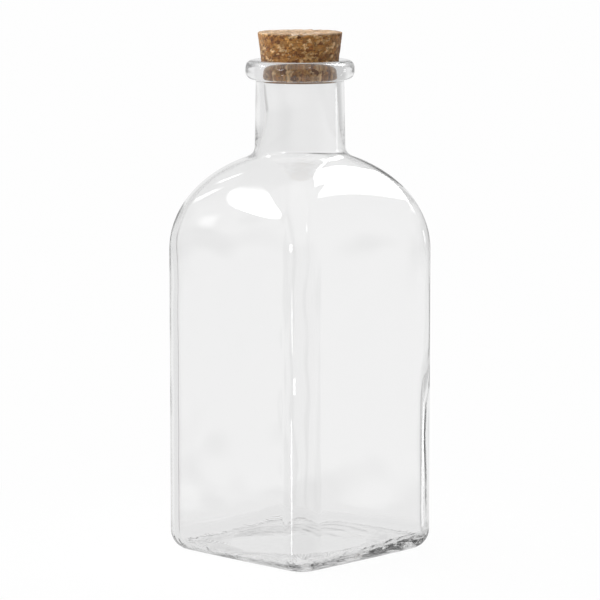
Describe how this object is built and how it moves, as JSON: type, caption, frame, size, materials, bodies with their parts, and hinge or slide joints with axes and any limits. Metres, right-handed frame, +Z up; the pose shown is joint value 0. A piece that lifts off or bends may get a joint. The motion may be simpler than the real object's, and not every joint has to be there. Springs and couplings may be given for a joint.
{
  "type": "glass bottle",
  "caption": "Square clear glass bottle with a domed shoulder, a short round neck with a beaded lip, and a tapered cork stopper.",
  "frame": {"origin": "on the surface that the bottle stands on, under the axis of its neck", "axes": "+Z up along the axis of the neck; +X and +Y square to the flat faces"},
  "size_m": [0.07, 0.07, 0.1796],
  "materials": {
    "glass": "clear, polished",
    "cork": "matte, granular"
  },
  "bodies": {
    "bottle": {"glass_bottle": "glass"},
    "stopper": {"cork_stopper": "cork"}
  },
  "joints": [
    {"name": "cork_pull", "type": "slide", "parent": "bottle", "child": "stopper", "axis": [0, 0, 1], "range_m": [0, 0.04]}
  ]
}
